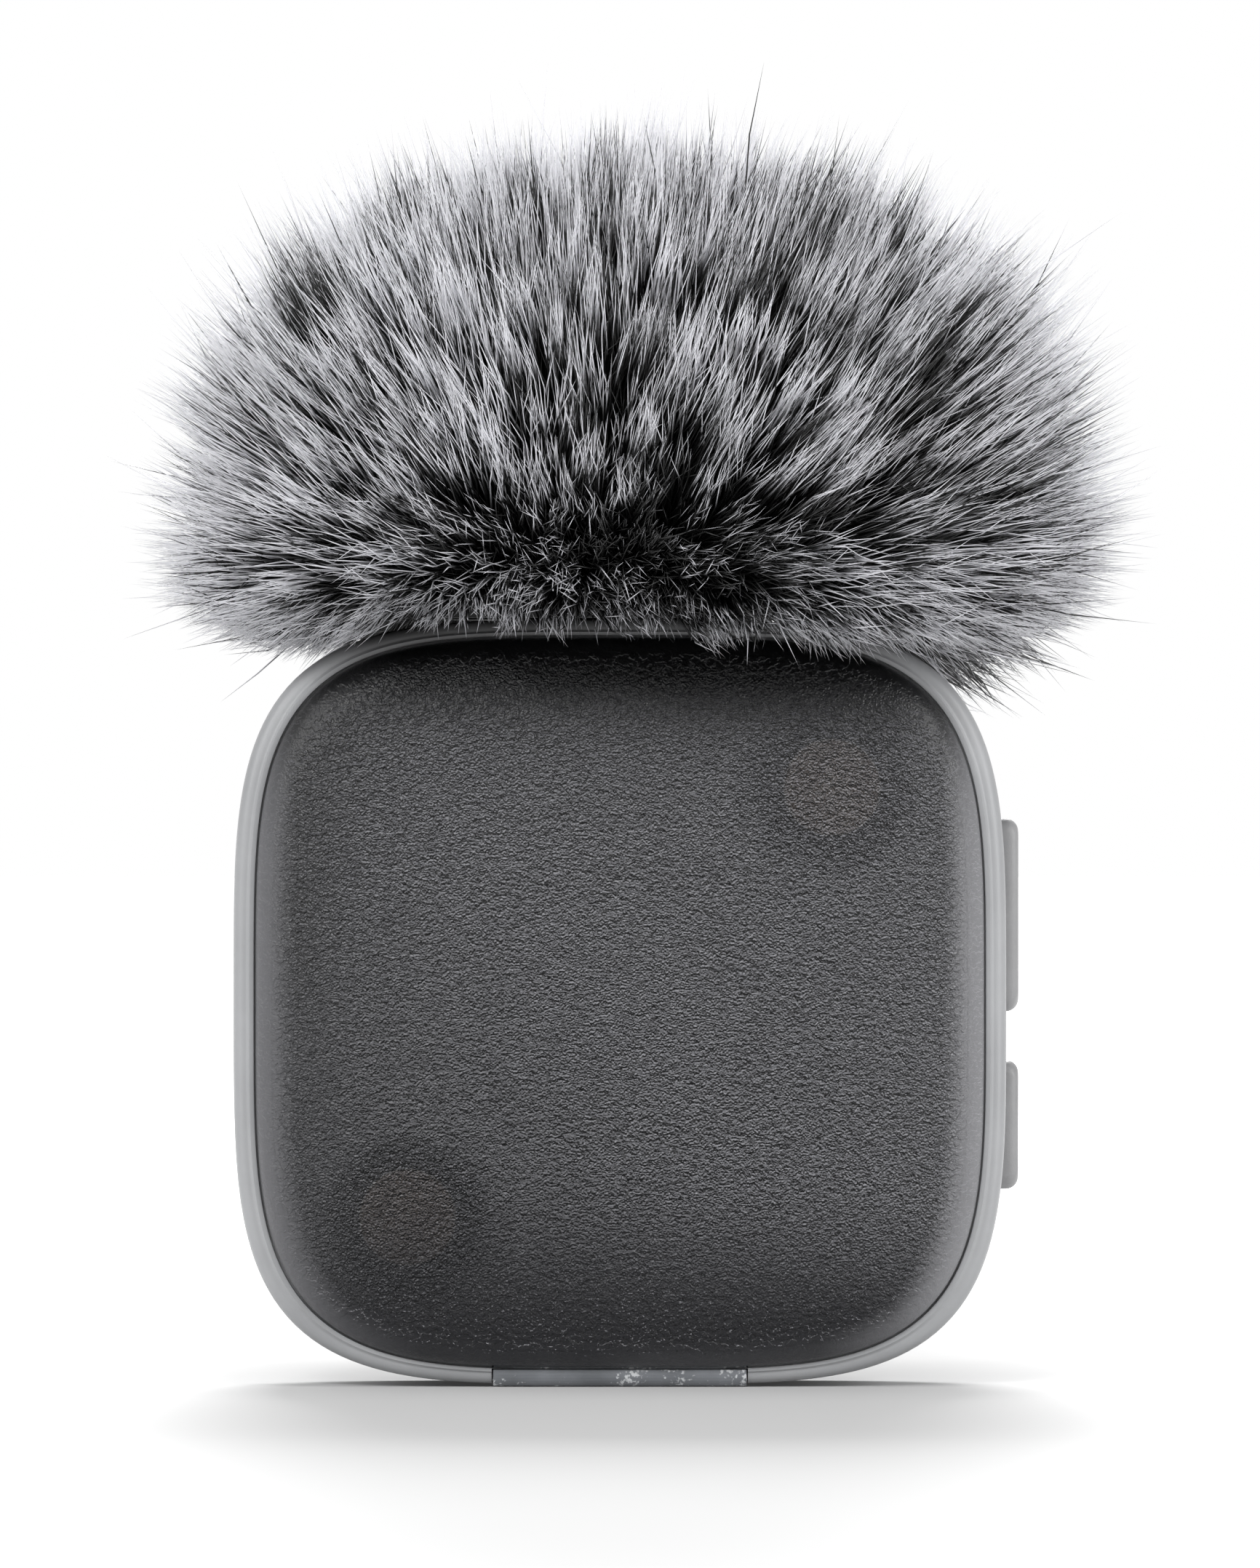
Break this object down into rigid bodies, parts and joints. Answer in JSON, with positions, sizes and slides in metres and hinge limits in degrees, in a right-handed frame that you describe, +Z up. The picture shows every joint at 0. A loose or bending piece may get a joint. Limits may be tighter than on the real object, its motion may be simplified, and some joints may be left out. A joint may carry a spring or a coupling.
{
  "type": "lavalier microphone",
  "caption": "Rounded-square clip-on wireless lavalier microphone with a smoked magnetic front cover, side buttons, a swivelling spring clip and a furry windscreen.",
  "frame": {"origin": "middle of the flat base face of the contact carrier, which the body stands on", "axes": "+X to the right seen from the front, -Y out of the front cover, +Z up through the windscreen"},
  "size_m": [0.0301, 0.0236, 0.041],
  "materials": {
    "frosted_frame": "satin",
    "grey_tray": "matte",
    "magnet_nickel": "satin",
    "smoked_cover": "satin",
    "back_shell": "matte",
    "silicone_black": "matte",
    "circuit_board": "satin",
    "tinned_steel": "satin",
    "chip_epoxy": "matte",
    "pin_steel": "satin",
    "cell_foil": "satin",
    "foam_tape": "matte",
    "copper_flex": "satin",
    "led_lens": "gloss",
    "switch_plastic": "matte",
    "button_grey": "satin",
    "carrier_window": "satin",
    "contact_gold": "satin",
    "bezel_plastic": "satin",
    "mesh_steel": "satin",
    "capsule_can": "satin",
    "clip_plastic": "satin",
    "spring_steel": "satin",
    "pad_rubber": "matte",
    "flange_plastic": "matte",
    "foam_core": "matte",
    "elastic_knit": "matte",
    "backing_knit": "matte",
    "faux_fur": "matte"
  },
  "bodies": {
    "housing": {"mid_frame": "frosted_frame", "front_tray": "grey_tray", "cover_magnets": "magnet_nickel", "back_cover": "back_shell", "rear_magnets": "magnet_nickel", "frame_gasket": "silicone_black", "main_board": "circuit_board", "shield_can": "tinned_steel", "board_chips": "chip_epoxy", "board_screws": "pin_steel", "battery": "cell_foil", "battery_tape": "foam_tape", "antenna": "copper_flex", "status_led": "led_lens", "link_switch": "switch_plastic", "power_switch": "switch_plastic", "button_seals": "silicone_black", "contact_carrier": "carrier_window", "contact_pads": "contact_gold", "contact_springs": "contact_gold", "port_bezel": "bezel_plastic", "port_mesh": "mesh_steel", "mic_capsule": "capsule_can", "capsule_boot": "silicone_black", "mic_flex": "copper_flex"},
    "cover": {"front_cover": "smoked_cover", "cover_discs": "magnet_nickel"},
    "link_key": {"link_button": "button_grey"},
    "power_key": {"power_button": "button_grey"},
    "clip_swivel": {"swivel_rivet": "pin_steel", "swivel_washer": "pin_steel", "swivel_plate": "clip_plastic", "clip_pin": "pin_steel", "clip_spring": "spring_steel", "clip_pad": "pad_rubber"},
    "clip_arm": {"clip_lever": "clip_plastic"},
    "windscreen": {"windscreen_base": "flange_plastic", "windscreen_foam": "foam_core", "windscreen_band": "elastic_knit", "windscreen_backing": "backing_knit", "windscreen_fur": "faux_fur"}
  },
  "joints": [
    {"name": "cover_pull", "type": "slide", "parent": "housing", "child": "cover", "axis": [0, -1, 0], "range_m": [0, 0.008]},
    {"name": "link_press", "type": "slide", "parent": "housing", "child": "link_key", "axis": [-1, 0, 0], "range_m": [0, 0.0003], "stiffness_N_per_m": 1500, "springref_m": -0.0003},
    {"name": "power_press", "type": "slide", "parent": "housing", "child": "power_key", "axis": [-1, 0, 0], "range_m": [0, 0.0003], "stiffness_N_per_m": 1500, "springref_m": -0.0003},
    {"name": "clip_turn", "type": "hinge", "parent": "housing", "child": "clip_swivel", "pos_m": [0, 0, 0.01305], "axis": [0, 1, 0], "continuous": true},
    {"name": "clip_open", "type": "hinge", "parent": "clip_swivel", "child": "clip_arm", "pos_m": [0, 0.008, 0.01805], "axis": [1, 0, 0], "range_deg": [0, 25], "stiffness_Nm_per_rad": 0.02, "springref_deg": -28.65, "deforming": ["clip_spring"]},
    {"name": "windscreen_pull", "type": "slide", "parent": "housing", "child": "windscreen", "axis": [0, 0, 1], "range_m": [0, 0.014]}
  ]
}
